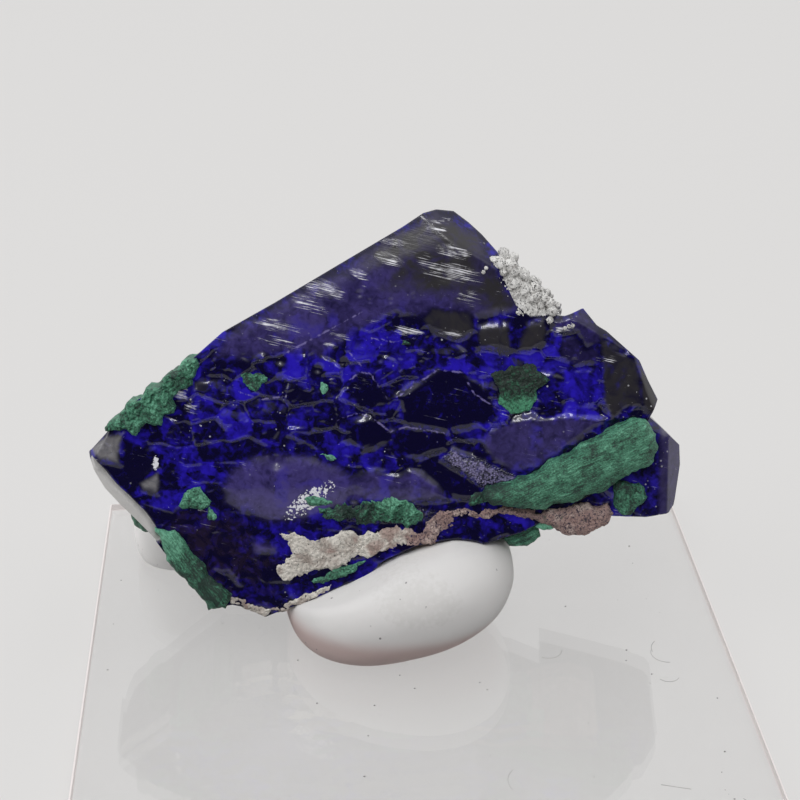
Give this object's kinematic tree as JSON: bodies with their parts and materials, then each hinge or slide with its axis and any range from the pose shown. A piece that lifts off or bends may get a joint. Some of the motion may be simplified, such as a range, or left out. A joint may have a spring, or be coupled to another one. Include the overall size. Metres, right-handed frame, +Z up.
{
  "type": "azurite specimen",
  "caption": "Leaning slab of dark blue azurite crystals with malachite and pale matrix, stuck with white putty to a clear square plate",
  "frame": {"origin": "middle of the clear plate's underside, which is the bottom centre of the box", "axes": "+Z up, -Y towards the viewer of the stone's face, +X to the right of that face"},
  "size_m": [0.1, 0.1, 0.0674],
  "materials": {
    "azurite": "glassy crystal faces, near black to electric blue",
    "malachite": "fibrous, silky green",
    "matrix": "dull cream to pinkish, speckled",
    "white_grains": "rough white grains",
    "putty": "smooth matte white",
    "clear_plate": "clear acrylic, polished"
  },
  "bodies": {
    "root": {"azurite_mass": "azurite", "malachite_blade": "malachite", "malachite_crust": "malachite", "malachite_knob": "malachite", "malachite_pocket": "malachite", "malachite_spray": "malachite", "malachite_tongue": "malachite", "malachite_tuft": "malachite", "matrix_grains": "white_grains", "matrix_ledge": "matrix", "matrix_patch": "matrix", "putty_front": "putty", "putty_rear": "putty", "clear_plate": "clear_plate"}
  },
  "joints": []
}
